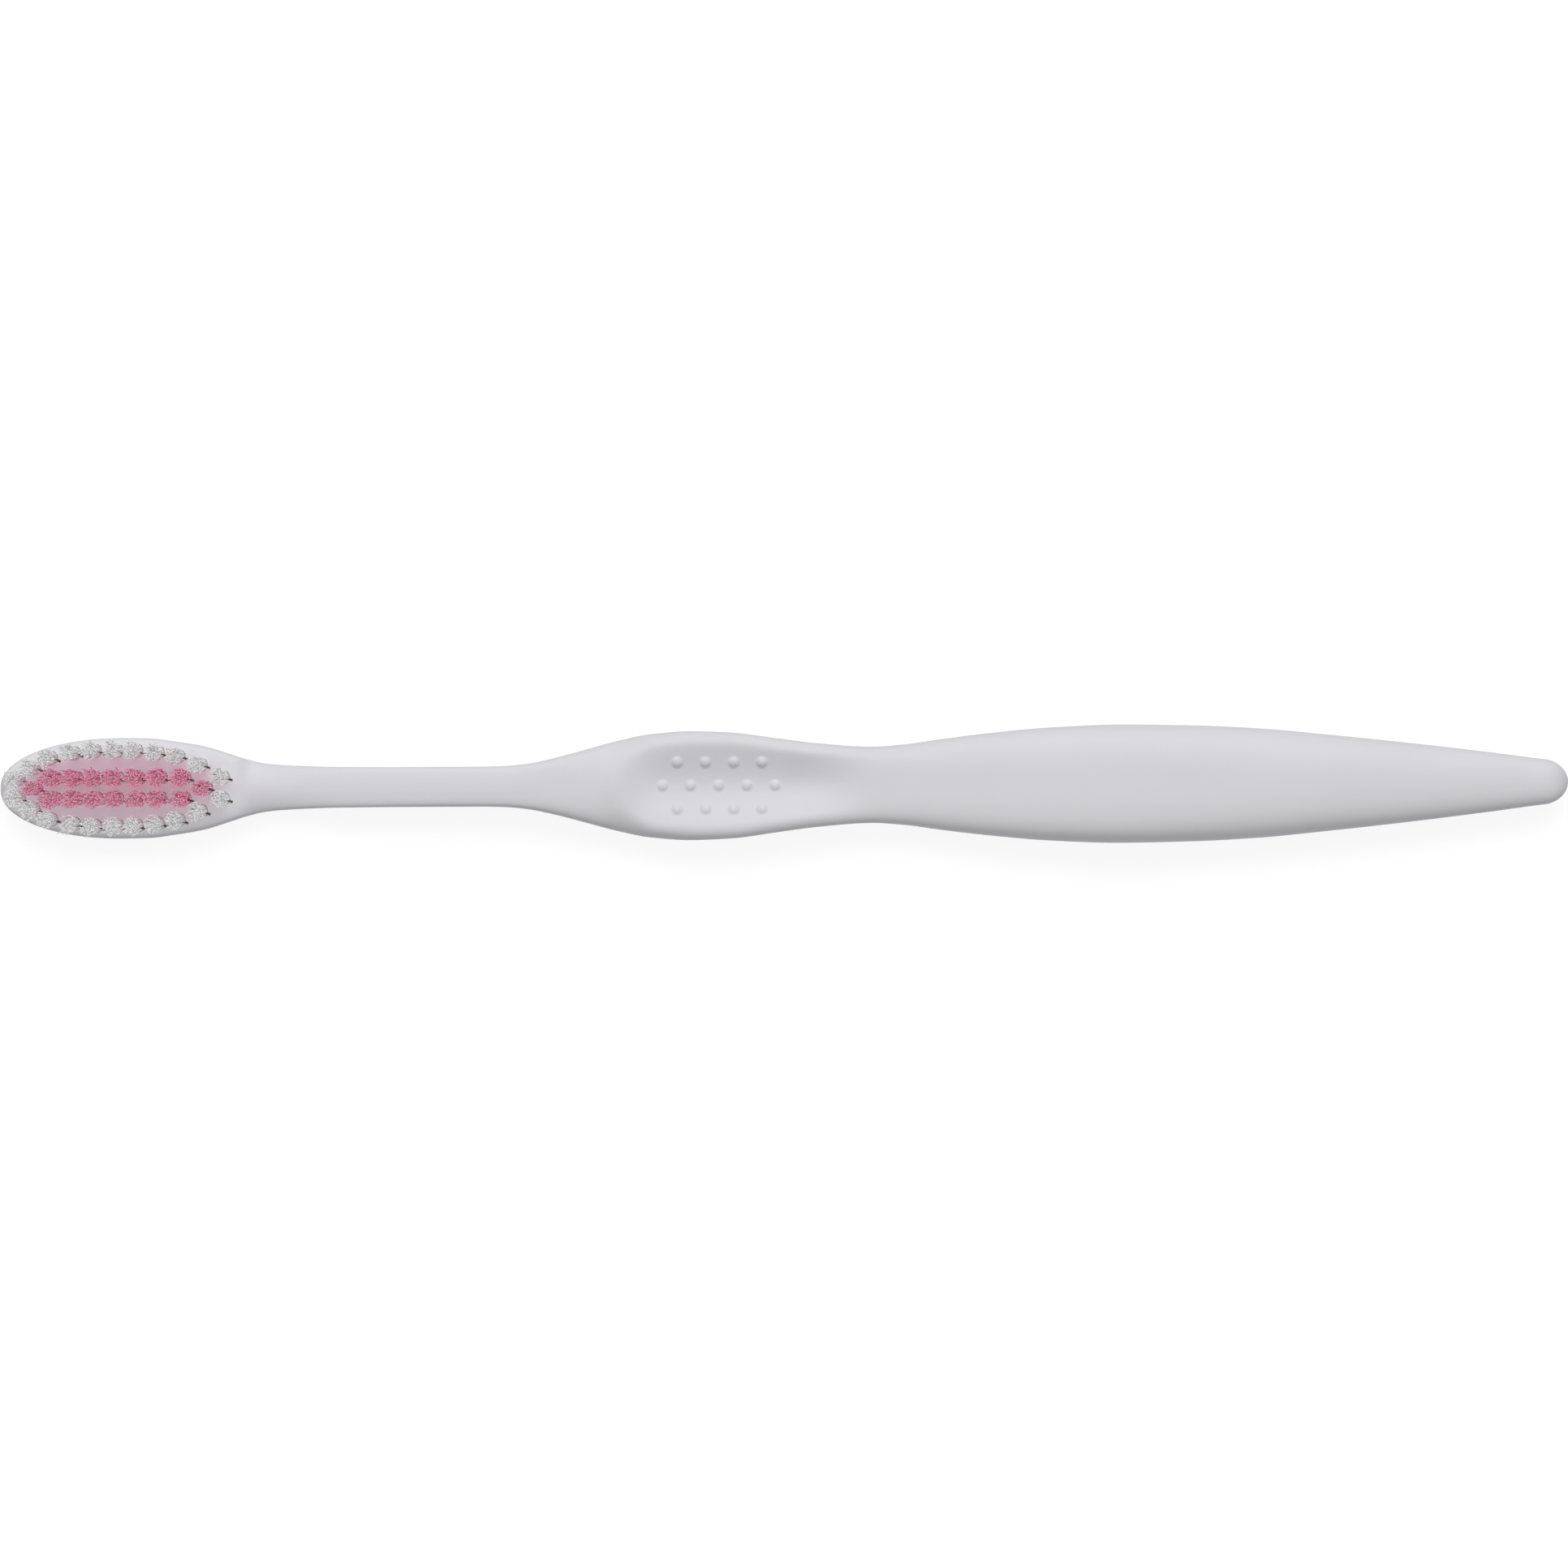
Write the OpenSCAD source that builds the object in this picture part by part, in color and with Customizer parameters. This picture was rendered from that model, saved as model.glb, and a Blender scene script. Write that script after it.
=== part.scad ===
// Manual toothbrush: a one-piece moulded handle, tufts of nylon strands folded into drilled
// holes in its head, and the flat metal anchor that staples each tuft in its hole.
// Millimetres. X runs along the brush from the head (-X) to the tail (+X), Z is up, and the
// brush lies on its back on Z = 0 with its bristles up. The origin is the middle of its base.

/* [Head] */
// Length from the tip of the head to the start of the neck
head_len = 32; // [30:0.5:36]
// Width of the head at its widest
head_w = 12.2; // [11.6:0.1:13.6]
// Thickness of the head, from its back to its bristle face
head_t = 4.8; // [4.4:0.1:5.4]
// Length over which the front of the head rounds off, seen from above
nose_len = 14.8; // [12:0.1:16]
// Length over which the front of the head rounds off, seen from the side
nose_edge = 1.6; // [0.8:0.1:2.4]
// Length of the step from the bristle face down to the neck
step_len = 1.5; // [1:0.1:3]
// Height of the bristle face above the start of the neck
step_h = 0.25; // [0.05:0.05:0.6]

/* [Neck] */
// Length of the slim neck
neck_len = 29; // [20:0.5:40]
// Width of the neck
neck_w = 4.84; // [4.2:0.02:6]
// Thickness of the neck
neck_t = 5.4; // [4.6:0.1:6.4]
// Height of the neck's back above the surface that the brush lies on
neck_lift = 1; // [0.2:0.1:1.4]

/* [Thumb rest] */
// Length from the end of the neck to the waist
rest_len = 44.7; // [40:0.1:52]
// Width of the thumb rest
rest_w = 13.2; // [12:0.1:15]
// Thickness of the thumb rest, to the top of the rims beside its scoop
rest_t = 6.8; // [6:0.1:9]
// Width of the waist between thumb rest and grip
waist_w = 9.24; // [8.2:0.02:11]
// Thickness of the waist
waist_t = 5.9; // [5:0.1:8]
// Height of the waist's back above the surface that the brush lies on
waist_lift = 0.6; // [0.2:0.1:1.2]
// Depth of the scoop for the thumb below its rims, along its middle
scoop_depth = 1.9; // [1.2:0.1:2.8]
// Length of the scoop
scoop_len = 31.5; // [26:0.5:36]
// Length of the scoop's rounded front end
scoop_nose = 6.2; // [5:0.1:9]
// Length over which the rims and the scoop run out behind
rim_fall = 11; // [8:0.1:14]
// Width of the rim left beside the scoop
scoop_rim = 1.25; // [0.7:0.05:1.8]
// Diameter of a grip bump at its foot
bump_d = 1.35; // [1.2:0.05:2]
// Height of a grip bump
bump_h = 0.36; // [0.3:0.02:0.7]
// Distance between bumps along the brush
bump_pitch = 3.41; // [2.8:0.01:3.8]
// Distance between the rows of bumps
bump_row_gap = 2.98; // [2.4:0.02:3.4]
// How far the outer rows of bumps sit toward the tail
bump_shift = 0.12; // [0:0.02:0.4]

/* [Grip] */
// Length from the waist to the end of the tail
grip_len = 84.3; // [70:0.1:95]
// Width of the grip at its widest
grip_w = 14.34; // [12.6:0.02:16]
// Thickness of the grip at its thickest
grip_t = 8.8; // [7.8:0.1:11]
// Width that the tail tapers to
tail_w = 4.9; // [4:0.1:7]
// Thickness that the tail tapers to
tail_t = 4.7; // [4:0.1:6.4]
// Height of the tail's back above the surface that the brush lies on
tail_lift = 1.2; // [0.5:0.1:2.5]
// Length over which the end of the tail rounds off
tail_round = 2.8; // [2:0.1:4]

/* [Tufts] */
// Length of the bristles above the bristle face
bristle_len = 10.5; // [8:0.1:12]
// Diameter of a tuft hole
hole_d = 1.7; // [1.5:0.02:1.8]
// Plastic left under a tuft hole
hole_floor = 1.2; // [0.8:0.05:1.6]
// Distance from the tip of the head to the start of the tuft field
field_tip_gap = 1.8; // [1.6:0.1:3]
// Distance from the end of the tuft field to the start of the neck
field_neck_gap = 4.4; // [3.6:0.1:5]
// Distance from the side of the head to the middle of the white tufts
field_side_gap = 1.55; // [1.5:0.05:1.9]
// Distance between the two rows of pink tufts
pink_row_gap = 2.5; // [2.3:0.02:2.8]
// Width of one modelled strand
strand_w = 0.3; // [0.2:0.01:0.32]

/* [Anchors] */
// Length of an anchor, whose ends bite into the plastic beside the hole
anchor_len = 2.2; // [2.1:0.02:2.3]
// Thickness of an anchor
anchor_t = 0.26; // [0.2:0.01:0.32]
// Height of an anchor
anchor_h = 1.3; // [0.9:0.05:1.5]
// Height of an anchor above the bottom of its hole, where the strands fold round it
anchor_seat = 0.5; // [0.3:0.05:0.8]

/* [Hidden] */
// Clearance round a tuft in its hole, and round an anchor in its slit
fit_gap = 0.03;
// Depth of the flats that the back rests on
back_flat = 0.08;
// Depth by which the packed root of a tuft lies below the bristle face
root_drop = 0.12;
// Depth by which the strands are sunk into the packed root
strand_root = 0.3;
// Overrun of a cut past the surface that it opens
cut_over = 1;
// Angle of the anchors to the length of the brush
anchor_turn = -20;

// How far the strands of a tuft have spread at their tips, along and across the brush
pink_spread_shares = [1.55, 1.3];
white_spread_shares = [1.3, 1.3];
// Places of the white tufts down one side, as shares of half the field's length and width
white_shares = [
    [-0.957, 0.25], [-0.814, 0.55], [-0.651, 0.81], [-0.438, 0.94], [-0.24, 1], [-0.035, 1],
    [0.15, 1], [0.349, 0.94], [0.543, 0.85], [0.752, 0.615], [0.961, 0.29]
];
// Places of the pink tufts along their rows, and of the two on the centre line
pink_row_shares = [-0.612, -0.414, -0.223, -0.03, 0.172, 0.378, 0.6];
pink_end_shares = [-0.79, 0.8];
// Number of bumps in each row across the thumb rest
bump_counts = [4, 5, 4];
// Place of the middle of the bumps, and where the scoop starts, along the thumb rest
bump_place_share = 0.584;
scoop_start_share = 0.313;

// Half width along each zone: share of the zone's length, then share of the way from the
// narrow end's half width to the wide end's
head_plan_shares = [
    [0, 1], [0.46, 1], [0.56, 0.985], [0.67, 0.87], [0.77, 0.72], [0.86, 0.485], [0.935, 0.275]
];
neck_plan_shares = [[0, 0.145], [0.05, 0.1], [0.13, 0.06], [0.3, 0.015], [0.6, 0], [0.9, 0]];
shoulder_plan_shares = [
    [0, 0.014], [0.067, 0.082], [0.134, 0.228], [0.224, 0.482], [0.313, 0.737], [0.4, 0.92],
    [0.505, 1]
];
waist_plan_shares = [[0.615, 0.91], [0.747, 0.525], [0.85, 0.23], [1, 0]];
grip_plan_shares = [[0.045, 0.1], [0.1, 0.35], [0.17, 0.627], [0.253, 0.87], [0.356, 1]];
tail_plan_shares = [
    [0.466, 0.965], [0.56, 0.88], [0.64, 0.745], [0.76, 0.518], [0.88, 0.262], [0.967, 0.06],
    [1, 0]
];
// Form of the top's cross section along each zone: share of the zone's length, squareness
// (2 is an ellipse, and a higher figure is boxier), and how much of it is a plain crown instead
head_top_shares = [[0, 6.5, 0], [0.9, 6.5, 0], [0.96, 6.5, 0.45]];
neck_top_shares = [[0.14, 7, 0.26], [0.42, 8, 0.14], [0.9, 8, 0.12]];
rest_top_shares = [
    [0.07, 6.5, 0.1], [0.157, 4.6, 0.06], [0.246, 4.2, 0.17], [0.313, 3, 0.33], [0.425, 3.5, 0.04],
    [0.604, 6, 0.1], [0.783, 7, 0.18]
];
grip_top_shares = [
    [0, 4.7, 0], [0.1, 3.7, 0], [0.36, 3.6, 0], [0.62, 3.2, 0.1], [0.857, 3.7, 0.2], [1, 3.7, 0.2]
];
// Squareness of the back's cross section
head_squareness = 4.5;
neck_squareness = 3.6;
rest_squareness = 3.4;
grip_squareness = 2.8;
tail_squareness = 2.3;
// Height of the widest line, as a share of the thickness at the head, rest, waist, grip and tail
seam_shares = [0.5, 0.43, 0.4, 0.37, 0.5];
// Roundness of the front of the head and of the scoop, seen from above
nose_squareness = 2.1;
scoop_squareness = 2.1;
// How round the bottom of the scoop is between its straight walls, and how soft its rim is
scoop_round_share = 0.56;
scoop_soft_share = 0.2;

// Points round the upper and the lower half of each section
top_steps = 22;
back_steps = 14;
round_steps = 48;

overall_len = head_len + neck_len + rest_len + grip_len;
tip_x = -overall_len / 2;
neck_end = head_len + neck_len;
waist_s = neck_end + rest_len;
neck_top = neck_lift + neck_t;
rest_lift = neck_lift / 2;
rest_top = rest_lift + rest_t;
waist_top = waist_lift + waist_t;
field_len = head_len - field_tip_gap - field_neck_gap;
field_mid = field_tip_gap + field_len / 2;
field_half_w = head_w / 2 - field_side_gap;
step_s = field_tip_gap + field_len + hole_d / 2;
scoop_start = neck_end + rest_len * scoop_start_share;
scoop_mid = scoop_start + scoop_nose;
scoop_end = scoop_start + scoop_len;
rim_start = scoop_start - scoop_nose;
rim_full = scoop_mid + scoop_nose / 2;
rim_fade = scoop_end - rim_fall;
bump_s = neck_end + rest_len * bump_place_share;
bump_ball_r = (pow(bump_d / 2, 2) + pow(bump_h, 2)) / (2 * bump_h);
anchor_z = hole_floor + anchor_seat;

function mix(a, b, t) = a + (b - a) * t;
function ease(t) = let (c = min(max(t, 0), 1)) c * c * (3 - 2 * c);

// A smooth curve through knots [place, value] that never overshoots them
function slope(k, i) = (k[i + 1][1] - k[i][1]) / (k[i + 1][0] - k[i][0]);
function tangent(k, i) =
    i == 0 ? slope(k, 0) :
    i == len(k) - 1 ? slope(k, i - 1) :
    let (a = slope(k, i - 1), b = slope(k, i))
    a * b <= 0 ? 0 : 2 * a * b / (a + b);
function segment(k, s, i = 0) = i >= len(k) - 2 || s < k[i + 1][0] ? i : segment(k, s, i + 1);
function curve(k, s) =
    let (
        i = segment(k, s),
        h = k[i + 1][0] - k[i][0],
        t = min(max((s - k[i][0]) / h, 0), 1),
        t2 = t * t,
        t3 = t2 * t
    )
    (2 * t3 - 3 * t2 + 1) * k[i][1] + (t3 - 2 * t2 + t) * h * tangent(k, i)
    + (3 * t2 - 2 * t3) * k[i + 1][1] + (t3 - t2) * h * tangent(k, i + 1);

// Knots of one zone of the plan, from its shares
function plan_zone(shares, start, length, narrow_w, wide_w) =
    [for (p = shares) [start + p[0] * length, mix(narrow_w, wide_w, p[1]) / 2]];
plan_knots = concat(
    plan_zone(head_plan_shares, 0, head_len, neck_w, head_w),
    plan_zone(neck_plan_shares, head_len, neck_len, neck_w, head_w),
    plan_zone(shoulder_plan_shares, neck_end, rest_len, neck_w, rest_w),
    plan_zone(waist_plan_shares, neck_end, rest_len, waist_w, rest_w),
    plan_zone(grip_plan_shares, waist_s, grip_len, waist_w, grip_w),
    plan_zone(tail_plan_shares, waist_s, grip_len, tail_w, grip_w)
);
rest_s = neck_end + rest_len * 0.5;
grip_s = waist_s + grip_len * 0.36;
top_knots = [
    [0, head_t - step_h], [step_s + step_len, head_t - step_h], [head_len + neck_len * 0.75, neck_top],
    [rim_start, neck_top], [rim_full, rest_top], [rim_fade, rest_top], [waist_s, waist_top],
    [grip_s, grip_t], [waist_s + grip_len * 0.62, mix(tail_lift + tail_t, grip_t, 0.78)],
    [overall_len, tail_lift + tail_t]
];
back_knots = [
    [0, 0], [head_len * 0.9, 0], [head_len + neck_len * 0.5, neck_lift],
    [rest_s, rest_lift], [waist_s, waist_lift], [grip_s - grip_len * 0.1, 0],
    [grip_s + grip_len * 0.1, 0], [overall_len, tail_lift]
];
seam_knots = [
    [0, seam_shares[0]], [neck_end, seam_shares[0]], [rest_s, seam_shares[1]],
    [waist_s, seam_shares[2]], [grip_s, seam_shares[3]], [overall_len, seam_shares[4]]
];
back_square_knots = [
    [0, head_squareness], [step_s, head_squareness], [head_len + neck_len * 0.3, neck_squareness],
    [neck_end, neck_squareness], [rest_s, rest_squareness], [grip_s, grip_squareness],
    [overall_len, tail_squareness]
];
// Knots of one column of the tables of the top's form
function form_zone(shares, column, start, length) =
    [for (p = shares) [start + p[0] * length, p[column]]];
function form_knots(column) = concat(
    form_zone(head_top_shares, column, 0, head_len),
    form_zone(neck_top_shares, column, head_len, neck_len),
    form_zone(rest_top_shares, column, neck_end, rest_len),
    form_zone(grip_top_shares, column, waist_s, grip_len)
);
top_square_knots = form_knots(1);
crown_knots = form_knots(2);

// Share of full size left by the rounding at the two ends
function end_share(d, length, power) =
    d >= length ? 1 : pow(max(1 - pow(1 - d / length, power), 0), 1 / power);
function half_w(s) =
    curve(plan_knots, s) * end_share(s, nose_len, nose_squareness)
    * end_share(overall_len - s, tail_round, 2);
function end_height(s) = end_share(s, nose_edge, 2) * end_share(overall_len - s, tail_round, 2);

// Height of the top before rounding: the bristle face, then the step down to the neck
function level(s) = mix(head_t, curve(top_knots, s), ease((s - step_s) / step_len));
function back(s) = curve(back_knots, s) - back_flat;
function seam(s) = mix(back(s), level(s), curve(seam_knots, s));
function bulge(u, n) = pow(max(1 - pow(min(abs(u), 1), n), 0), 1 / n);
function crowned(u, n, crown) = mix(bulge(u, n), 1 - pow(min(abs(u), 1), 2), crown);

// A clipped value whose corner at zero is rounded
function soft_clip(h, r) = h <= -r ? 0 : h >= r ? h : pow(h + r, 2) / (4 * r);
// Depth of the thumb scoop: straight walls and a round bottom, a round front, running out behind
function scoop(s, y) =
    s <= rim_start || s >= scoop_end ? 0 :
    let (
        e = max(scoop_mid - s, 0) / scoop_nose,
        w = half_w(max(s, scoop_mid)) - scoop_rim,
        u = pow(pow(e, scoop_squareness) + pow(abs(y) / w, scoop_squareness), 1 / scoop_squareness),
        a = scoop_round_share,
        h = 1 - (sqrt(u * u + a * a) - a) / (sqrt(1 + a * a) - a)
    )
    scoop_depth * soft_clip(h, scoop_soft_share) * (1 - ease((s - rim_fade) / rim_fall));

function top_z(s, y) =
    let (
        w = max(half_w(s), fit_gap),
        zm = seam(s),
        share = crowned(y / w, curve(top_square_knots, s), curve(crown_knots, s))
    )
    zm + (level(s) - zm) * end_height(s) * share - scoop(s, y);
function back_z(s, y) =
    let (w = max(half_w(s), fit_gap), zm = seam(s))
    max(zm - (zm - back(s)) * end_height(s) * bulge(y / w, curve(back_square_knots, s)), 0);

// Points round the section at s, from one side over the top and back under the other
function section(s) =
    let (w = half_w(s))
    concat(
        [for (i = [0:top_steps]) let (y = -w * cos(180 * i / top_steps)) [tip_x + s, y, top_z(s, y)]],
        [for (i = [1:back_steps - 1]) let (y = w * cos(180 * i / back_steps)) [tip_x + s, y, back_z(s, y)]]
    );

// Stations along the brush, close together where the shape turns quickly
function spread(a, b, n) = [for (i = [0:n - 1]) mix(a, b, i / n)];
stations = concat(
    [for (i = [1:11]) nose_len * pow(i / 12, 2)],
    spread(nose_len, step_s - step_len, 5),
    spread(step_s - step_len, step_s, 2),
    spread(step_s, step_s + step_len, 5),
    spread(step_s + step_len, head_len + step_len, 2),
    spread(head_len + step_len, neck_end, 7),
    spread(neck_end, scoop_start, 7),
    spread(scoop_start, scoop_mid, 8),
    spread(scoop_mid, scoop_end, 14),
    spread(scoop_end, overall_len - tail_round, 19),
    [for (i = [0:5]) overall_len - tail_round * pow(1 - i / 6, 2)]
);

// A closed skin over rings of points, with a point at each end
module skin(rings, first, last) {
    n = len(rings[0]);
    m = len(rings);
    points = concat([first], [for (r = rings) for (p = r) p], [last]);
    walls = [
        for (i = [0:m - 2]) for (j = [0:n - 1])
            let (a = 1 + i * n + j, b = 1 + i * n + (j + 1) % n, c = a + n, d = b + n)
            each [[a, b, c], [b, d, c]]
    ];
    front = [for (j = [0:n - 1]) [0, 1 + (j + 1) % n, 1 + j]];
    rear = [for (j = [0:n - 1]) [1 + m * n, 1 + (m - 1) * n + j, 1 + (m - 1) * n + (j + 1) % n]];
    polyhedron(points, concat(walls, front, rear));
}

function field_x(share) = tip_x + field_mid + share * field_len / 2;
white_places = concat(
    [for (p = white_shares) [field_x(p[0]), field_half_w * p[1]]],
    [for (p = white_shares) [field_x(p[0]), -field_half_w * p[1]]]
);
pink_places = concat(
    [for (p = pink_row_shares) [field_x(p), pink_row_gap / 2]],
    [for (p = pink_row_shares) [field_x(p), -pink_row_gap / 2]],
    [for (p = pink_end_shares) [field_x(p), 0]]
);
bump_places = [
    for (row = [0:len(bump_counts) - 1]) for (i = [0:bump_counts[row] - 1]) [
        bump_s + (i - (bump_counts[row] - 1) / 2) * bump_pitch
            + abs(row - (len(bump_counts) - 1) / 2) * bump_shift,
        (row - (len(bump_counts) - 1) / 2) * bump_row_gap
    ]
];

function numbered(word, i) = str(word, i < 9 ? "0" : "", i + 1);
pink_names = [for (i = [0:len(pink_places) - 1]) numbered("pink_tuft_", i)];
white_names = [for (i = [0:len(white_places) - 1]) numbered("white_tuft_", i)];

module handle_body() {
    skin([for (s = stations) section(s)], [tip_x, 0, seam(0)], [-tip_x, 0, seam(overall_len)]);
}

module bump(place) {
    translate([tip_x + place[0], place[1], top_z(place[0], place[1]) + bump_h - bump_ball_r])
        sphere(r = bump_ball_r, $fn = round_steps);
}

// The drilled hole for a tuft, and the slit that its anchor cuts on the way down
module tuft_hole(place) {
    translate([place[0], place[1], hole_floor])
        cylinder(d = hole_d, h = head_t - hole_floor + cut_over, $fn = round_steps);
    anchor_block(place, fit_gap, head_t + cut_over - anchor_z - anchor_h);
}

// An anchor's block, grown by a gap at its sides and below, and raised at its top
module anchor_block(place, gap, raise) {
    translate([place[0], place[1], anchor_z - gap])
        rotate([0, 0, anchor_turn])
            translate([-anchor_len / 2 - gap, -anchor_t / 2 - gap, 0])
                cube([anchor_len + 2 * gap, anchor_t + 2 * gap, anchor_h + gap + raise]);
}

module handle() {
    color("whitesmoke") difference() {
        union() {
            handle_body();
            for (p = bump_places) bump(p);
        }
        for (p = concat(pink_places, white_places)) tuft_hole(p);
    }
}

// One strand: a slim four-sided column from its foot to its tip
module strand(foot, tip, turn) {
    corners = [for (a = [45:90:315]) [cos(a + turn), sin(a + turn)] * strand_w / sqrt(2)];
    points = concat(
        [for (c = corners) foot + [c[0], c[1], 0]],
        [for (c = corners) tip + [c[0], c[1], 0]]
    );
    sides = [for (i = [0:3]) let (j = (i + 1) % 4) each [[i, i + 4, j], [j, i + 4, j + 4]]];
    polyhedron(points, concat(sides, [[0, 1, 2], [0, 2, 3], [4, 6, 5], [4, 7, 6]]));
}

// One tuft: the root packed in the hole and folded round its anchor, with its strands
module tuft(place, spread_shares) {
    root_r = hole_d / 2 - fit_gap;
    root_z = hole_floor + fit_gap;
    root_top = head_t - root_drop;
    outer_r = root_r - strand_w * 0.75;
    inner_r = outer_r - strand_w * 1.1;
    difference() {
        union() {
            translate([place[0], place[1], root_z])
                cylinder(r = root_r, h = root_top - root_z, $fn = round_steps);
            for (ring = [[outer_r, 9], [inner_r, 3]]) for (i = [0:ring[1] - 1]) {
                a = 360 * i / ring[1];
                x = ring[0] * cos(a);
                y = ring[0] * sin(a);
                strand(
                    [place[0] + x, place[1] + y, root_top - strand_root],
                    [
                        place[0] + x * spread_shares[0],
                        place[1] + y * spread_shares[1],
                        head_t + bristle_len
                    ],
                    a
                );
            }
        }
        anchor_block(place, fit_gap, fit_gap);
    }
}

module pink_tuft(place) {
    color("palevioletred") tuft(place, pink_spread_shares);
}

module white_tuft(place) {
    color("white") tuft(place, white_spread_shares);
}

module anchors(places) {
    color("tan") for (p = places) anchor_block(p, 0, 0);
}

handle();
for (i = [0:len(pink_names) - 1]) pink_tuft(pink_places[i]);
for (i = [0:len(white_names) - 1]) white_tuft(white_places[i]);
anchors(pink_places);  // pink_anchors
anchors(white_places);  // white_anchors
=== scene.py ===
import math

import bpy
import numpy as np
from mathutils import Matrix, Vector


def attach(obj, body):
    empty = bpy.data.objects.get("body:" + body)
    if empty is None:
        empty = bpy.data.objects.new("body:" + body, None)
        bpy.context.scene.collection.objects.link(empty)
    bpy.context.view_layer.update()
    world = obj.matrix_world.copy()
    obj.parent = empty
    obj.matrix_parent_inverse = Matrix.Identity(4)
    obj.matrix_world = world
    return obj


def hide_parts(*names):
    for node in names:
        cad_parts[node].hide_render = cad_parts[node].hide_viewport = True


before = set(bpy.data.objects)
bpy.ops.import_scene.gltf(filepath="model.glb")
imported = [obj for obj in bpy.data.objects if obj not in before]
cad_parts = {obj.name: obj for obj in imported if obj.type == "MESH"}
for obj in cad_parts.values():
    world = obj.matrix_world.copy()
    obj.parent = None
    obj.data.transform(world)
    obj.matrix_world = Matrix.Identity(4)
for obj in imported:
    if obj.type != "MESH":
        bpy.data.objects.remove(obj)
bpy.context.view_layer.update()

MM = 0.001

# Sizes of the brush in millimetres. X runs from the head (-X) to the tail (+X), Z is up.
head_len = 32
head_w = 12.2
head_t = 4.8
nose_len = 14.8
nose_edge = 1.6
step_len = 1.5
step_h = 0.25
neck_len = 29
neck_w = 4.84
neck_t = 5.4
neck_lift = 1
rest_len = 44.7
rest_w = 13.2
rest_t = 6.8
waist_w = 9.24
waist_t = 5.9
waist_lift = 0.6
scoop_depth = 1.9
scoop_len = 31.5
scoop_nose = 6.2
rim_fall = 11
scoop_rim = 1.25
bump_d = 1.35
bump_h = 0.36
bump_pitch = 3.41
bump_row_gap = 2.98
bump_shift = 0.12
grip_len = 84.3
grip_w = 14.34
grip_t = 8.8
tail_w = 4.9
tail_t = 4.7
tail_lift = 1.2
tail_round = 2.8
bristle_len = 10.5
hole_d = 1.7
hole_floor = 1.2
field_tip_gap = 1.8
field_neck_gap = 4.4
field_side_gap = 1.55
pink_row_gap = 2.5
anchor_len = 2.2
anchor_t = 0.26
anchor_h = 1.3
anchor_seat = 0.5
fit_gap = 0.03
back_flat = 0.08
anchor_turn = math.radians(-20)

# Forms of the handle, as shares of the zones they shape. A plan gives places along a zone and
# shares of its widening; a top form gives places, the squareness of the section and its crown.
head_plan = [(0, 1), (0.46, 1), (0.56, 0.985), (0.67, 0.87), (0.77, 0.72), (0.86, 0.485), (0.935, 0.275)]
neck_plan = [(0, 0.145), (0.05, 0.1), (0.13, 0.06), (0.3, 0.015), (0.6, 0), (0.9, 0)]
shoulder_plan = [
    (0, 0.014), (0.067, 0.082), (0.134, 0.228), (0.224, 0.482), (0.313, 0.737), (0.4, 0.92), (0.505, 1),
]
waist_plan = [(0.615, 0.91), (0.747, 0.525), (0.85, 0.23), (1, 0)]
grip_plan = [(0.045, 0.1), (0.1, 0.35), (0.17, 0.627), (0.253, 0.87), (0.356, 1)]
tail_plan = [(0.466, 0.965), (0.56, 0.88), (0.64, 0.745), (0.76, 0.518), (0.88, 0.262), (0.967, 0.06), (1, 0)]
head_top_form = [(0, 6.5, 0), (0.9, 6.5, 0), (0.96, 6.5, 0.45)]
neck_top_form = [(0.14, 7, 0.26), (0.42, 8, 0.14), (0.9, 8, 0.12)]
rest_top_form = [
    (0.07, 6.5, 0.1), (0.157, 4.6, 0.06), (0.246, 4.2, 0.17), (0.313, 3, 0.33), (0.425, 3.5, 0.04),
    (0.604, 6, 0.1), (0.783, 7, 0.18),
]
grip_top_form = [
    (0, 4.7, 0), (0.1, 3.7, 0), (0.36, 3.6, 0), (0.62, 3.2, 0.1), (0.857, 3.7, 0.2), (1, 3.7, 0.2),
]
head_squareness = 4.5
neck_squareness = 3.6
rest_squareness = 3.4
grip_squareness = 2.8
tail_squareness = 2.3
seam_shares = [0.5, 0.43, 0.4, 0.37, 0.5]
nose_squareness = 2.1
scoop_squareness = 2.1
scoop_round_share = 0.56
scoop_soft_share = 0.2
white_shares = [
    (-0.957, 0.25), (-0.814, 0.55), (-0.651, 0.81), (-0.438, 0.94), (-0.24, 1), (-0.035, 1),
    (0.15, 1), (0.349, 0.94), (0.543, 0.85), (0.752, 0.615), (0.961, 0.29),
]
pink_row_shares = [-0.612, -0.414, -0.223, -0.03, 0.172, 0.378, 0.6]
pink_end_shares = [-0.79, 0.8]
bump_counts = [4, 5, 4]
bump_place_share = 0.584
scoop_start_share = 0.313

# Finer forms of the handle: the fillet round a bump, the mould seam, the slits beside the holes,
# and how far the bottom of a hole lies above the solid's
bump_foot = 0.16
seam_groove = 0.03
seam_most = 0.05
seam_lip = 0.07
slit_reach = 0.08
slit_half = 0.1
slit_depth = 0.7
bottom_gap = 0.05

# Grid of the handle's skin: steps over the top and under the back of a section, rows of points
# per millimetre of its length, rows on the rounding of each end, half the length of the zone of
# the bumps in pitches, and the share of the head's half width that holes and slits keep to
top_steps = 118
back_steps = 28
hole_rows = 9
step_rows = 4
plain_rows = 1.3
bump_rows = 7.5
tail_rows = 6
end_rows = 5
bump_zone_pitches = 2.6
face_share = 0.97

# Squareness, half width and rise of the roundest and the squarest section, for spacing the steps
round_top = (3.2, 6.5, 4.5)
square_top = (6.5, 6.1, 2.4)
round_back = (tail_squareness, 6.5, 3.5)
square_back = (head_squareness, 6.1, 2.4)

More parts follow.
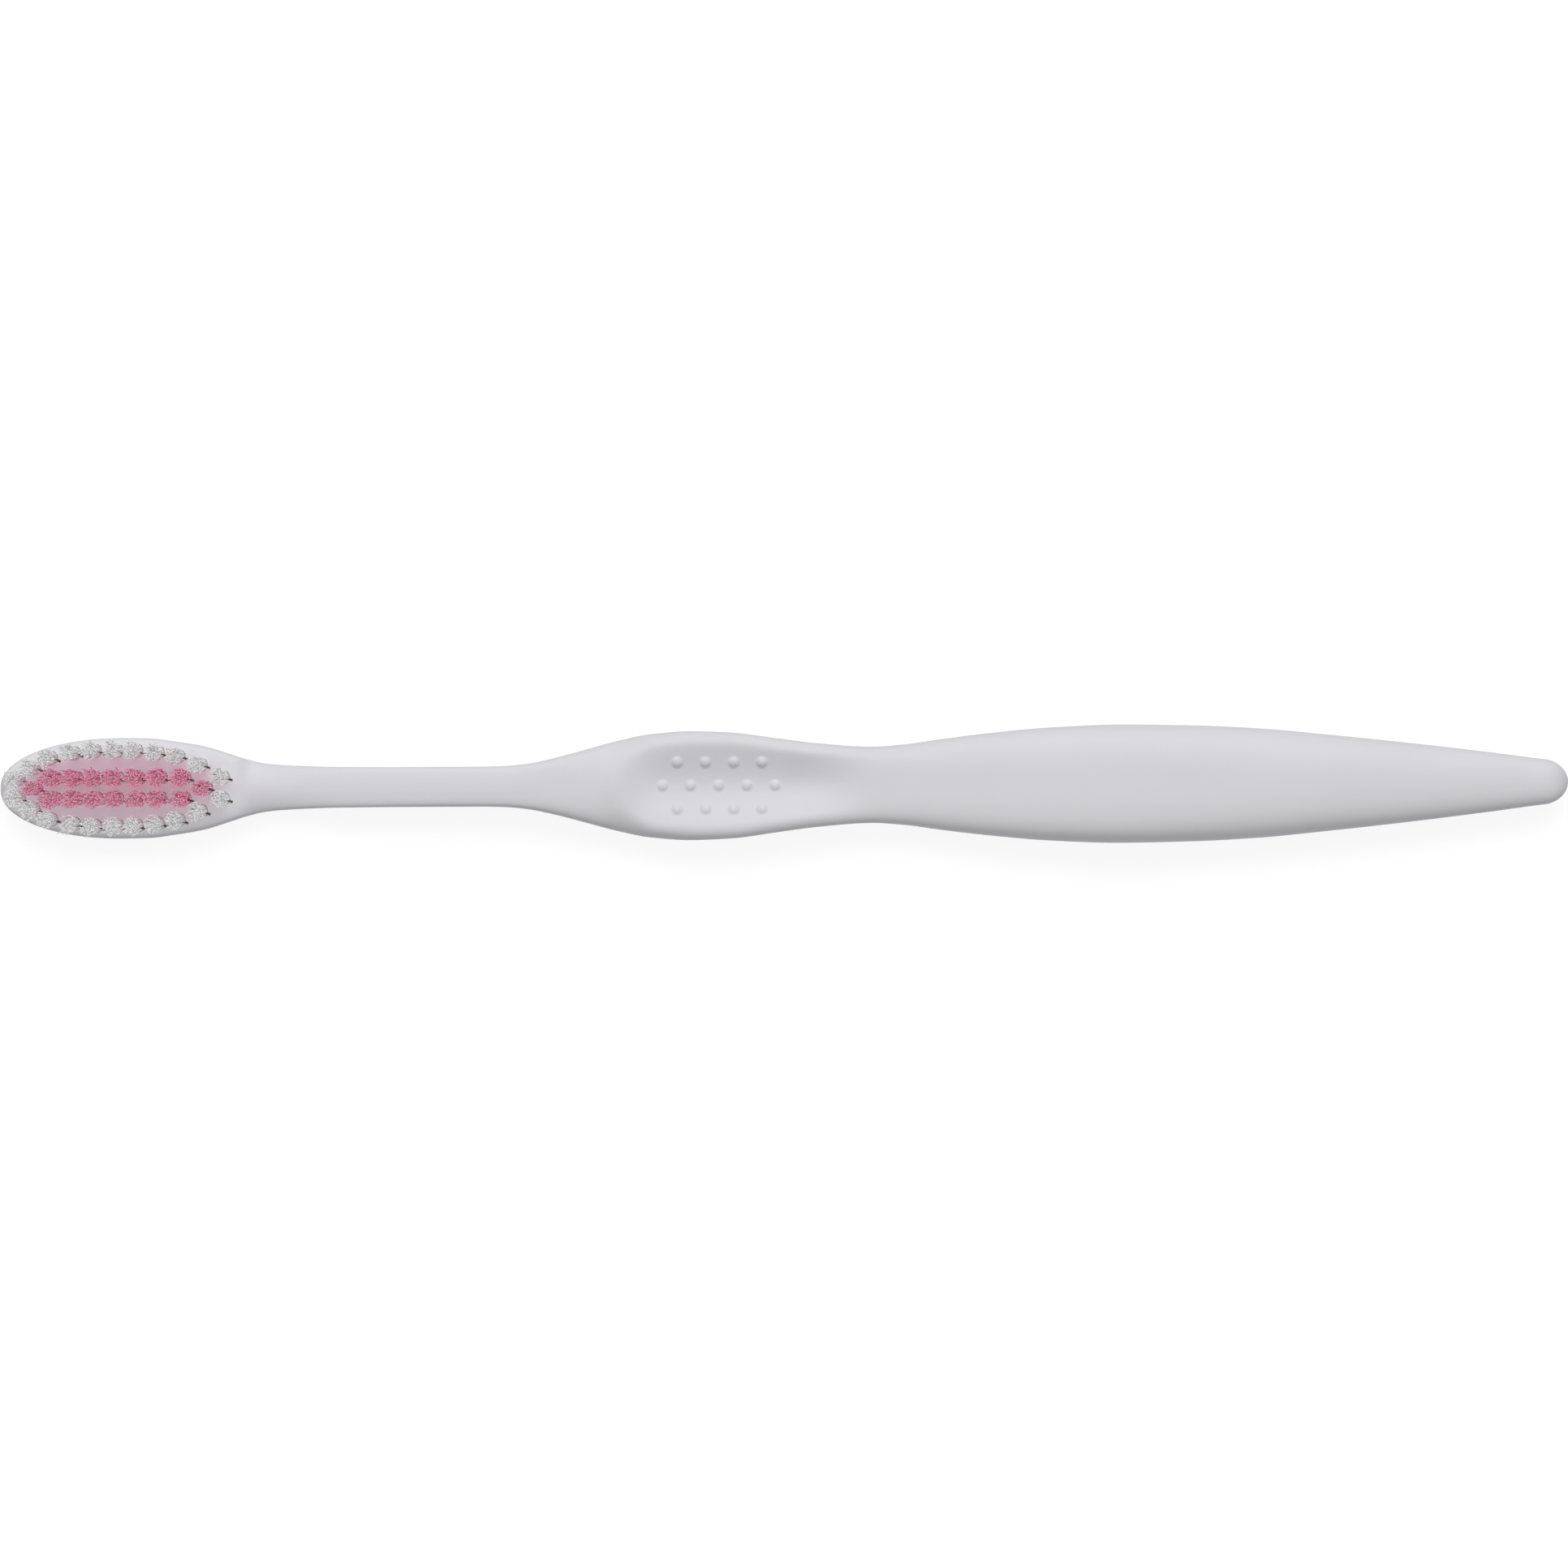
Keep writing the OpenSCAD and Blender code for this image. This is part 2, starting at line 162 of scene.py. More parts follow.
# Strands: their radius, its shares from foot to tip, the heights of the tip's last two rings as
# shares of the radius, where they start, their spacing, and how they lean, bow and end
strand_r = 0.075
strand_sides = 6
strand_taper = [1, 1, 1, 1.07, 1.15, 1.25, 1.04, 0.5]
dome_heights = [0.55, 0.9]
strand_foot = 1.32
anchor_gap = 0.05
pink_pitch = 0.15
white_pitch = 0.165
part_half = 0.11
lean_power = 1.35
tip_scatter = 0.07
bow_scatter = 0.05
tip_droop = 0.22
least_droop = 0.4

# Tufts: how many times wider than its foot a tuft's tip is, along and across the brush, and the
# share and reach of the strands that stray
pink_row_spread = (1.75, 1.4)
nose_spread = (1.2, 1.15)
end_spread = (1.6, 1.3)
white_spread = (1.35, 1.35)
stray_share = 0.3
stray_scatter = 0.25
white_stray = 0.3
pink_stray = 0.28
stray_along = 0.3
stray_tipward = 0.5
stray_room_start = 3
stray_room_len = 5

overall_len = head_len + neck_len + rest_len + grip_len
tip_x = -overall_len / 2
neck_end = head_len + neck_len
waist_s = neck_end + rest_len
rest_s = neck_end + rest_len * 0.5
grip_s = waist_s + grip_len * 0.36
neck_top = neck_lift + neck_t
rest_lift = neck_lift / 2
rest_top = rest_lift + rest_t
waist_top = waist_lift + waist_t
field_len = head_len - field_tip_gap - field_neck_gap
field_mid = field_tip_gap + field_len / 2
field_half_w = head_w / 2 - field_side_gap
step_s = field_tip_gap + field_len + hole_d / 2
scoop_start = neck_end + rest_len * scoop_start_share
scoop_mid = scoop_start + scoop_nose
scoop_end = scoop_start + scoop_len
rim_start = scoop_start - scoop_nose
rim_full = scoop_mid + scoop_nose / 2
rim_fade = scoop_end - rim_fall
bump_s = neck_end + rest_len * bump_place_share
bump_ball_r = ((bump_d / 2) ** 2 + bump_h ** 2) / (2 * bump_h)
anchor_z = hole_floor + anchor_seat


def mix(a, b, t):
    """The value a share t of the way from a to b."""
    return a + (b - a) * t


def ease(t):
    """A step from 0 to 1 with level ends: three t squared less two t cubed."""
    t = np.clip(t, 0, 1)
    return t * t * (3 - 2 * t)


def curve(knots, s):
    """A smooth line through knots of place and value: a cubic on each stretch, whose slope at a
    knot is the harmonic mean of its neighbours' slopes, or level where the line turns."""
    place, value = np.array(knots, float).T
    step = np.diff(place)
    slope = np.diff(value) / step
    before, after = slope[:-1], slope[1:]
    total = np.where(before + after == 0, 1, before + after)
    inner = np.where(before * after > 0, 2 * before * after / total, 0)
    tangent = np.concatenate([slope[:1], inner, slope[-1:]])
    i = np.clip(np.searchsorted(place, s, side="right") - 1, 0, len(step) - 1)
    t = np.clip((s - place[i]) / step[i], 0, 1)
    return (
        (2 * t ** 3 - 3 * t ** 2 + 1) * value[i]
        + (t ** 3 - 2 * t ** 2 + t) * step[i] * tangent[i]
        + (3 * t ** 2 - 2 * t ** 3) * value[i + 1]
        + (t ** 3 - t ** 2) * step[i] * tangent[i + 1]
    )


def zone(shares, start, length, narrow, wide):
    """Knots of half width along one zone, from shares of its length and of its widening."""
    return [(start + a * length, mix(narrow, wide, b) / 2) for a, b in shares]


plan_knots = (
    zone(head_plan, 0, head_len, neck_w, head_w)
    + zone(neck_plan, head_len, neck_len, neck_w, head_w)
    + zone(shoulder_plan, neck_end, rest_len, neck_w, rest_w)
    + zone(waist_plan, neck_end, rest_len, waist_w, rest_w)
    + zone(grip_plan, waist_s, grip_len, waist_w, grip_w)
    + zone(tail_plan, waist_s, grip_len, tail_w, grip_w)
)
top_knots = [
    (0, head_t - step_h), (step_s + step_len, head_t - step_h), (head_len + neck_len * 0.75, neck_top),
    (rim_start, neck_top), (rim_full, rest_top), (rim_fade, rest_top), (waist_s, waist_top), (grip_s, grip_t),
    (waist_s + grip_len * 0.62, mix(tail_lift + tail_t, grip_t, 0.78)), (overall_len, tail_lift + tail_t),
]
back_knots = [
    (0, 0), (head_len * 0.9, 0), (head_len + neck_len * 0.5, neck_lift), (rest_s, rest_lift),
    (waist_s, waist_lift), (grip_s - grip_len * 0.1, 0), (grip_s + grip_len * 0.1, 0),
    (overall_len, tail_lift),
]
seam_knots = list(zip([0, neck_end, rest_s, waist_s, grip_s, overall_len], [seam_shares[0]] + seam_shares))
back_square_knots = [
    (0, head_squareness), (step_s, head_squareness), (head_len + neck_len * 0.3, neck_squareness),
    (neck_end, neck_squareness), (rest_s, rest_squareness), (grip_s, grip_squareness),
    (overall_len, tail_squareness),
]
top_form = [
    (start + share * length, squareness, crown)
    for forms, start, length in (
        (head_top_form, 0, head_len), (neck_top_form, head_len, neck_len),
        (rest_top_form, neck_end, rest_len), (grip_top_form, waist_s, grip_len),
    )
    for share, squareness, crown in forms
]
top_square_knots = [(s, squareness) for s, squareness, crown in top_form]
crown_knots = [(s, crown) for s, squareness, crown in top_form]


def end_share(d, length, power):
    """Share of full size left at a distance d from a rounded end: a quarter of a squared circle."""
    left = np.clip(1 - d / length, 0, 1)
    return (1 - left ** power) ** (1 / power)


def half_width(s):
    """Half width along the brush: the plan's line, rounded off at the head and the tail."""
    rounding = end_share(s, nose_len, nose_squareness) * end_share(overall_len - s, tail_round, 2)
    return curve(plan_knots, s) * rounding


def end_height(s):
    """Share of full height left by the rounding of both ends."""
    return end_share(s, nose_edge, 2) * end_share(overall_len - s, tail_round, 2)


def level(s):
    """Height of the top before its sides are rounded: the bristle face, then a step down to the neck."""
    return mix(head_t, curve(top_knots, s), ease((s - step_s) / step_len))


def back(s):
    """Height of the back's lowest line, a little below the flats it rests on."""
    return curve(back_knots, s) - back_flat


def seam(s):
    """Height of the widest line, a share of the way up from the back to the top."""
    return mix(back(s), level(s), curve(seam_knots, s))


def bulge(u, n):
    """Height share of a squared circle at the share u of its half width."""
    return (1 - np.minimum(np.abs(u), 1) ** n) ** (1 / n)


def crowned(u, n, crown):
    """A squared circle, mixed with a plain crown of one less u squared."""
    return mix(bulge(u, n), 1 - np.minimum(np.abs(u), 1) ** 2, crown)


def scoop(s, y):
    """Depth of the thumb scoop: straight walls that meet in a round bottom (a hyperbola), a squared
    round front and a soft rim, running out behind with the rims beside it."""
    front = np.maximum(scoop_mid - s, 0) / scoop_nose
    side = np.abs(y) / (half_width(np.clip(s, scoop_mid, scoop_end)) - scoop_rim)
    u = (front ** scoop_squareness + side ** scoop_squareness) ** (1 / scoop_squareness)
    a = scoop_round_share
    h = 1 - (np.hypot(u, a) - a) / (math.hypot(1, a) - a)
    r = scoop_soft_share
    depth = np.where(h >= r, h, np.maximum(h + r, 0) ** 2 / (4 * r))
    return scoop_depth * depth * (1 - ease((s - rim_fade) / rim_fall))


def top_height(s, y):
    """Height of the top: a crowned squared circle over the widest line, less the scoop."""
    w = np.maximum(half_width(s), fit_gap)
    rise = (level(s) - seam(s)) * end_height(s)
    return seam(s) + rise * crowned(y / w, curve(top_square_knots, s), curve(crown_knots, s)) - scoop(s, y)


def back_height(s, y):
    """Height of the back: a squared circle under the widest line, cut level where it rests."""
    w = np.maximum(half_width(s), fit_gap)
    drop = (seam(s) - back(s)) * end_height(s) * bulge(y / w, curve(back_square_knots, s))
    return np.maximum(seam(s) - drop, 0)


def field_place(share, y):
    """A tuft's place, from its share of half the tuft field's length."""
    return tip_x + field_mid + share * field_len / 2, y


white_places = [field_place(a, side * field_half_w * b) for side in (1, -1) for a, b in white_shares]
pink_places = [field_place(a, side * pink_row_gap / 2) for side in (1, -1) for a in pink_row_shares]
pink_places += [field_place(a, 0) for a in pink_end_shares]
hole_places = np.array(pink_places + white_places)
bump_places = np.array([
    (
        tip_x + bump_s + (i - (n - 1) / 2) * bump_pitch + abs(row - 1) * bump_shift,
        (row - 1) * bump_row_gap,
    )
    for row, n in enumerate(bump_counts) for i in range(n)
])


def new_piece(name, points, faces, material, smooth_angle=None):
    """A mesh object from points in millimetres, smooth all over or up to an angle."""
    mesh = bpy.data.meshes.new(name)
    mesh.from_pydata(points * MM, [], faces)
    mesh.materials.append(material)
    mesh.shade_smooth()
    if smooth_angle:
        mesh.set_sharp_from_angle(angle=math.radians(smooth_angle))
    mesh.validate()
    piece = bpy.data.objects.new(name, mesh)
    bpy.context.scene.collection.objects.link(piece)
    return piece


def give_attribute(piece, name, values):
    """Stores one number per point, which a material can read."""
    layer = piece.data.attributes.new(name, "FLOAT", "POINT")
    layer.data.foreach_set("value", np.asarray(values, np.float32))


# Node building

def new_group(name, inputs, outputs):
    """An empty node group with named sockets, and its first and last node."""
    tree = bpy.data.node_groups.new(name, "ShaderNodeTree")
    for title, kind, value in inputs:
        socket = tree.interface.new_socket(title, in_out="INPUT", socket_type="NodeSocket" + kind)
        if value is not None:
            socket.default_value = value
    for title, kind in outputs:
        tree.interface.new_socket(title, in_out="OUTPUT", socket_type="NodeSocket" + kind)
    return tree, tree.nodes.new("NodeGroupInput"), tree.nodes.new("NodeGroupOutput")


def add(tree, kind, values=(), **settings):
    """A node with its settings and its unlinked values; a value that is a socket is linked."""
    node = tree.nodes.new("ShaderNode" + kind)
    for key, value in settings.items():
        setattr(node, key, value)
    for key, value in dict(values).items():
        if isinstance(value, bpy.types.NodeSocket):
            tree.links.new(value, node.inputs[key])
        else:
            node.inputs[key].default_value = value
    return node


def place_group(tree, group, values):
    """A node group placed in a material, with its own values."""
    return add(tree, "Group", values, node_tree=group)


def mixed_colour(tree, share, first, second):
    """A colour the given share of the way from the first to the second."""
    node = add(tree, "Mix", {0: share, 6: first, 7: second}, data_type="RGBA")
    return node.outputs[2]


def noise(tree, place, scale, **values):
    """Cloudy noise of a size, from 0 to 1."""
    node = add(tree, "TexNoise", {"Vector": place, "Scale": scale, **values})
    return node.outputs["Fac"]


def seen_ray(tree):
    """1 for rays that look straight, by a reflection or through something, and 0 for the rest."""
    light = tree.nodes.new("ShaderNodeLightPath")
    straight = {0: light.outputs["Is Camera Ray"], 1: light.outputs["Is Glossy Ray"]}
    seen = add(tree, "Math", straight, operation="MAXIMUM")
    through = {0: seen.outputs[0], 1: light.outputs["Is Transmission Ray"]}
    return add(tree, "Math", through, operation="MAXIMUM").outputs[0]


def tone_drift_group():
    """Colour that wanders slowly between two tones, with finer flecks on top."""
    tree, start, end = new_group(
        "tone_drift",
        [
            ("Place", "Vector", None), ("Size", "Float", 80.0),
            ("Fleck size", "Float", 1500.0), ("Fleck", "Float", 0.25),
            ("First tone", "Color", (0.7, 0.7, 0.7, 1)), ("Second tone", "Color", (0.8, 0.8, 0.8, 1)),
        ],
        [("Colour", "Color")],
    )
    given = start.outputs
    slow = noise(tree, given["Place"], given["Size"], Detail=3.0)
    fine = noise(tree, given["Place"], given["Fleck size"], Detail=2.0)
    both = add(tree, "Mix", {0: given["Fleck"], 2: slow, 3: fine})
    wide = add(tree, "MapRange", {"Value": both.outputs[0], "From Min": 0.35, "From Max": 0.65})
    tint = mixed_colour(tree, wide.outputs["Result"], given["First tone"], given["Second tone"])
    tree.links.new(tint, end.inputs["Colour"])
    return tree


def fine_grain_group():
    """Roughness and height of a satin surface: cloudy patches and a fine even grain."""
    tree, start, end = new_group(
        "fine_grain",
        [
            ("Place", "Vector", None), ("Patch size", "Float", 120.0), ("Grain size", "Float", 5000.0),
            ("Smoothest", "Float", 0.4), ("Roughest", "Float", 0.5),
        ],
        [("Roughness", "Float"), ("Height", "Float")],
    )
    given = start.outputs
    patch = noise(tree, given["Place"], given["Patch size"], Detail=4.0, Roughness=0.6)
    grain = noise(tree, given["Place"], given["Grain size"], Detail=2.0)
    rough = add(tree, "MapRange", {
        "Value": patch, "From Min": 0.3, "From Max": 0.7,
        "To Min": given["Smoothest"], "To Max": given["Roughest"],
    })
    tree.links.new(rough.outputs["Result"], end.inputs["Roughness"])
    tree.links.new(grain, end.inputs["Height"])
    return tree


tone_drift = tone_drift_group()
fine_grain = fine_grain_group()


def new_material(name):
    """A material with its shader, and the object's own coordinates."""
    material = bpy.data.materials.new(name)
    material.use_nodes = True
    tree = material.node_tree
    tree.nodes.clear()
    shader = tree.nodes.new("ShaderNodeBsdfPrincipled")
    out = tree.nodes.new("ShaderNodeOutputMaterial")
    tree.links.new(shader.outputs["BSDF"], out.inputs["Surface"])
    place = tree.nodes.new("ShaderNodeTexCoord").outputs["Object"]
    return material, tree, shader, place


def dress(tree, shader, colour, grain, strength, distance):
    """Gives a shader its colour, and the roughness and fine bumps of its grain."""
    bump = {"Strength": strength, "Distance": distance, "Height": grain.outputs["Height"]}
    normal = add(tree, "Bump", bump).outputs["Normal"]
    tree.links.new(colour, shader.inputs["Base Color"])
    tree.links.new(grain.outputs["Roughness"], shader.inputs["Roughness"])
    tree.links.new(normal, shader.inputs["Normal"])


def handle_plastic():
    """White moulded plastic: satin, a little cooler in places, with painted shade in and round the anchor
    slits: a dark brown that stands in for the shade in them and the anchor metal deep inside.
    """
    material, tree, shader, place = new_material("satin_white_plastic")
    tone = place_group(tree, tone_drift, {
        "Place": place, "Size": 55.0, "Fleck size": 900.0, "Fleck": 0.2,
        "First tone": (0.698, 0.694, 0.724, 1), "Second tone": (0.716, 0.712, 0.742, 1),
    })
    grain = place_group(tree, fine_grain, {
        "Place": place, "Patch size": 90.0, "Grain size": 2600.0, "Smoothest": 0.5, "Roughest": 0.58,
    })
    # Painted shade: where the handle's points mark the anchor slits and their edges, the colour turns dark
    # brown.
    slit_shade = add(tree, "Attribute", attribute_name="painted_slit_shade")
    shade = mixed_colour(tree, slit_shade.outputs["Fac"], tone.outputs["Colour"], (0.24, 0.2, 0.17, 1))
    dress(tree, shader, shade, grain, 0.25, 0.00002)
    shader.inputs["IOR"].default_value = 1.49
    shader.inputs["Specular IOR Level"].default_value = 0.2
    return material


def bristle_nylon(name, shaft, deep, pale):
    """Cloudy nylon that light wanders through: strong colour down the shafts, and paler, duller
    tips, each strand's in a tone of its own."""
    material, tree, shader, place = new_material(name)
    own = add(tree, "Attribute", attribute_name="strand_tone")
    tone = place_group(tree, tone_drift, {
        "Place": place, "Size": 700.0, "Fleck size": 6000.0, "Fleck": 0.3,
        "First tone": deep, "Second tone": pale,
    })
    tip = mixed_colour(tree, own.outputs["Fac"], deep, tone.outputs["Colour"])
    height = add(tree, "SeparateXYZ", {"Vector": place})
    rise = add(tree, "MapRange", {
        "Value": height.outputs["Z"],
        "From Min": (head_t + bristle_len * 0.7) * MM, "From Max": (head_t + bristle_len) * MM,
    })
    shade = mixed_colour(tree, rise.outputs["Result"], shaft, tip)
    grain = place_group(tree, fine_grain, {
        "Place": place, "Patch size": 900.0, "Grain size": 20000.0, "Smoothest": 0.42, "Roughest": 0.55,
    })
    dress(tree, shader, shade, grain, 0.2, 0.00001)
    shader.inputs["IOR"].default_value = 1.53
    shader.inputs["Specular IOR Level"].default_value = 0.3
    shader.inputs["Subsurface Weight"].default_value = 1.0
    shader.inputs["Subsurface Radius"].default_value = (1, 1, 1)
    shader.inputs["Subsurface Scale"].default_value = 0.001
    shader.inputs["Sheen Weight"].default_value = 0.7
    shader.inputs["Sheen Roughness"].default_value = 0.5
    return material


def anchor_metal():
    """Drawn brass wire, dulled and darkened in patches."""
    material, tree, shader, place = new_material("dull_brass")
    tone = place_group(tree, tone_drift, {
        "Place": place, "Size": 1800.0, "Fleck size": 9000.0, "Fleck": 0.4,
        "First tone": (0.3, 0.24, 0.16, 1), "Second tone": (0.56, 0.46, 0.3, 1),
    })
    grain = place_group(tree, fine_grain, {
        "Place": place, "Patch size": 2500.0, "Grain size": 30000.0, "Smoothest": 0.3, "Roughest": 0.5,
    })
    dress(tree, shader, tone.outputs["Colour"], grain, 0.3, 0.00001)
    shader.inputs["Metallic"].default_value = 1.0
    return material


# Handle

def section_places(steps, n, half, rise):
    """Shares of the half width round half a section, from -1 to 1: equal steps of length round
    a squared circle, with a narrow step beside the seam at each end."""
    turn = np.linspace(0, np.pi, 8001)
    u = -np.cos(turn)
    run = np.concatenate([[0], np.cumsum(np.hypot(np.diff(half * u), np.diff(rise * bulge(u, n))))])
    marks = np.linspace(0, run[-1], steps + 1)
    marks = np.concatenate([[0, seam_lip], marks[1:-1], [run[-1] - seam_lip, run[-1]]])
    return np.interp(marks, run, u)


def handle_rows():
    """Places of the sections along the brush: the head's rounding, then equal steps of a running
    sum of rows per millimetre, which is high over the tuft holes and the bumps."""
    first = bump_s - bump_zone_pitches * bump_pitch
    last = bump_s + bump_zone_pitches * bump_pitch
    places = [
        0, step_s, step_s + 3, step_s + 3.5, first - 1, first, last, last + 1,
        overall_len - tail_round, overall_len - tail_round + 0.5, overall_len,
    ]
    rows = [
        hole_rows, hole_rows, step_rows, plain_rows, plain_rows, bump_rows, bump_rows, plain_rows,
        plain_rows, tail_rows, tail_rows,
    ]
    s = np.linspace(0, overall_len, 40001)
    total = np.concatenate([[0], np.cumsum(np.interp(s[1:], places, rows) * np.diff(s))])
    even = np.interp(np.arange(1, total[-1] - 1), total, s)
    shares = np.arange(1, end_rows + 1) / (end_rows + 1)
    nose = even[0] * shares ** 2
    tail = overall_len - (overall_len - even[-1]) * (1 - shares) ** 2
    return np.concatenate([nose, even, tail])


def to_hole_edges(x, y):
    """Moves points that lie within half a cell of a hole's edge, or of its anchor slit's, onto it.
    Also says which points are then in a hole, in a slit, and in or on the edge of a slit."""
    near = 0.06
    inner = 0.02
    gap_x = x[..., None] - hole_places[:, 0]
    gap_y = y[..., None] - hole_places[:, 1]
    far = np.hypot(gap_x, gap_y)
    hole_r = hole_d / 2
    which = np.argmin(far, axis=-1)[..., None]
    gap_x, gap_y, far = (np.take_along_axis(a, which, -1)[..., 0] for a in (gap_x, gap_y, far))
    ux, uy = math.cos(anchor_turn), math.sin(anchor_turn)
    along = gap_x * ux + gap_y * uy
    across = -gap_x * uy + gap_y * ux
    slit_end = anchor_len / 2 + fit_gap + slit_reach
    by_slit = (np.abs(np.abs(across) - slit_half) < near) & (np.abs(along) < slit_end + near) & (far > hole_r)
    across_new = np.where(by_slit, np.sign(across) * slit_half, across)
    by_end = (np.abs(np.abs(along) - slit_end) < near) & (np.abs(across_new) <= slit_half + near)
    along_new = np.where(by_end, np.sign(along) * slit_end, along)
    by_hole = np.abs(far - hole_r) < near
    scale = np.where(by_hole, hole_r / np.maximum(far, 1e-6), 1)
    along_new = np.where(by_hole, along * scale, along_new)
    across_new = np.where(by_hole, across * scale, across_new)
    new_x = x + (along_new - along) * ux - (across_new - across) * uy
    new_y = y + (along_new - along) * uy + (across_new - across) * ux
    far = np.hypot(along_new, across_new)
    in_hole = far < hole_r - inner
    past_side = np.abs(across_new) - slit_half
    past_end = np.abs(along_new) - slit_end
    in_slit = (past_side < -inner) & (past_end < -inner) & ~in_hole
    on_slit = (past_side < inner) & (past_end < inner) & ~in_hole
    return new_x, new_y, in_hole, in_slit, on_slit


def smooth_max(a, b, r):
    """The higher of two heights, with a rounded corner of size r where they meet."""
    h = np.clip(0.5 + 0.5 * (a - b) / r, 0, 1)
    return mix(b, a, h) + r * h * (1 - h)


def bump_height(x, y, ground):
    """Height of the thumb bumps: balls sunk in the top, with a filleted foot."""
    foot = top_height(bump_places[:, 0] - tip_x, bump_places[:, 1])
    far = np.hypot(x[..., None] - bump_places[:, 0], y[..., None] - bump_places[:, 1])
    which = np.argmin(far, axis=-1)
    far = np.take_along_axis(far, which[..., None], -1)[..., 0]
    ball = foot[which] + bump_h - bump_ball_r + np.sqrt(np.maximum(bump_ball_r ** 2 - far ** 2, 0))
    return np.where(far < bump_ball_r * 0.98, smooth_max(ball, ground, bump_foot), ground)


def make_handle(material):
    """The handle's skin: squared sections carried along the brush, closed by a point at each end,
    with the tuft holes and anchor slits sunk in the face and the bumps raised in the scoop."""
    s = handle_rows()
    squareness = curve(top_square_knots, s)[:, None]
    boxy = np.clip((squareness - round_top[0]) / (square_top[0] - round_top[0]), 0, 1)
    top_u = mix(section_places(top_steps, *round_top), section_places(top_steps, *square_top), boxy)
    back_u = mix(section_places(back_steps, *round_back), section_places(back_steps, *square_back), boxy)
    w = half_width(s)[:, None]
    top_y = w * top_u
    top_x = np.broadcast_to(s[:, None] + tip_x, top_y.shape).copy()
    inside = (np.abs(top_u) < face_share) & (s[:, None] < step_s + 0.5)
    moved_x, moved_y, in_hole, in_slit, on_slit = to_hole_edges(top_x, top_y)
    top_x = np.where(inside, moved_x, top_x)
    top_y = np.where(inside, moved_y, top_y)
    top_z = bump_height(top_x, top_y, top_height(top_x - tip_x, top_y))
    # Painted shade: points in or on the edge of an anchor slit are marked 1, and the material turns them dark
    # brown.
    slit_shade = np.where(inside & on_slit, 1.0, 0.0)
    top_z = np.where(inside & in_slit, head_t - slit_depth, top_z)
    top_z = np.where(inside & in_hole, hole_floor + bottom_gap, top_z)
    back_y = -w * back_u[:, 1:-1]
    back_x = np.broadcast_to(s[:, None] + tip_x, back_y.shape)
    back_z = back_height(np.broadcast_to(s[:, None], back_y.shape), back_y)
    groove = np.minimum(seam_groove, w[:, 0] * seam_most)
    top_y[:, 0] += groove
    top_y[:, -1] -= groove
    x = np.hstack([top_x, back_x])
    y = np.hstack([top_y, back_y])
    z = np.hstack([top_z, back_z])
    rows, cols = x.shape
    points = np.stack([x, y, z], -1).reshape(-1, 3)
    first_z, last_z = seam(np.array([0, overall_len]))
    points = np.vstack([points, [[tip_x, 0, first_z], [-tip_x, 0, last_z]]])
    i, j = np.meshgrid(np.arange(rows - 1), np.arange(cols), indexing="ij")
    a, b = i * cols + j, i * cols + (j + 1) % cols
    walls = np.stack([a, a + cols, b + cols, b], -1).reshape(-1, 4).tolist()
    ring = np.arange(cols)
    front = np.stack([np.full(cols, rows * cols), ring, (ring + 1) % cols], -1).tolist()
    last = (rows - 1) * cols
    rear = np.stack([np.full(cols, rows * cols + 1), last + (ring + 1) % cols, last + ring], -1).tolist()
    piece = new_piece("handle_skin", points, walls + front + rear, material, 50)
    all_slit_shade = np.hstack([slit_shade, np.zeros_like(back_z)]).ravel()
    give_attribute(piece, "painted_slit_shade", np.concatenate([all_slit_shade, [0, 0]]))
    return piece


# Tufts

def strand_feet(turn, pitch):
    """Places of the strands' feet in a hole: even rings a pitch apart, from its wall inwards, parted
    near the wall where the anchor's ends come out."""
    radii = np.arange(hole_d / 2 - fit_gap - strand_r, pitch / 2, -pitch)
    counts = np.floor(2 * np.pi * radii / pitch).astype(int)
    r = np.repeat(radii, counts)
    angle = np.concatenate([turn * (n + 1) + np.arange(c) * 2 * np.pi / c for n, c in enumerate(counts)])
    parted = (np.abs(r * np.sin(angle - anchor_turn)) < part_half) & (r > hole_d / 4)
    return np.stack([r * np.cos(angle), r * np.sin(angle)], -1)[~parted]


